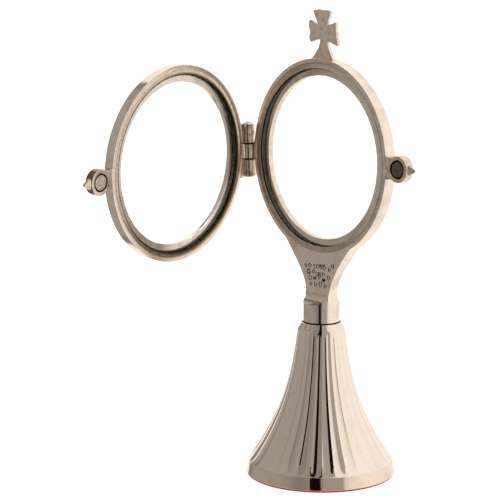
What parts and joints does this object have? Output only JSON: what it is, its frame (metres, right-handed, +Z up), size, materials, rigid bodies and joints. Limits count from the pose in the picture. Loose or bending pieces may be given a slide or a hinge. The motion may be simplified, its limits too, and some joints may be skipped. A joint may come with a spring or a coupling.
{
  "type": "tabletop monstrance",
  "caption": "Tabletop monstrance: fluted bell foot, flat neck, round glazed frame with a hinged glazed door held shut by magnets, and a cross on top.",
  "frame": {"origin": "centre of the underside of the foot", "axes": "+Z is up through the foot, the neck and the cross. -Y is the front, the side that the door closes on. +X points to the catch, and -X to the hinge."},
  "size_m": [0.0992, 0.1264, 0.1857],
  "materials": {
    "bell_plate": "silver plated, mirror polished",
    "frame_plate": "silver plated, satin faces and polished rims",
    "bezel_plate": "silver plated, polished",
    "cross_plate": "silver plated, filed and lightly brushed",
    "cast_plate": "silver plated, softly polished casting",
    "felt": "pressed wool felt",
    "glass": "clear, with a green edge",
    "magnet": "worn nickel plating",
    "steel": "plain steel"
  },
  "bodies": {
    "stand": {"base_bell": "bell_plate", "base_felt": "felt", "tie_stud": "steel", "stud_washer": "steel", "stud_nut": "steel", "main_frame": "frame_plate", "frame_glass": "glass", "frame_bezel": "bezel_plate", "cross_finial": "cross_plate", "frame_catch_boss": "cast_plate", "frame_magnet": "magnet", "frame_hinge_knuckle": "cast_plate", "hinge_pin": "steel"},
    "door": {"door_ring": "frame_plate", "door_glass": "glass", "door_bezel": "bezel_plate", "door_upper_knuckle": "cast_plate", "door_lower_knuckle": "cast_plate", "door_catch_boss": "cast_plate", "door_magnet": "magnet"}
  },
  "joints": [
    {"name": "door_swing", "type": "hinge", "parent": "stand", "child": "door", "pos_m": [-0.0423, -0.00278, 0.1268], "axis": [0, -0.0576, 0.9983], "range_deg": [-91.5, 78.5]}
  ]
}
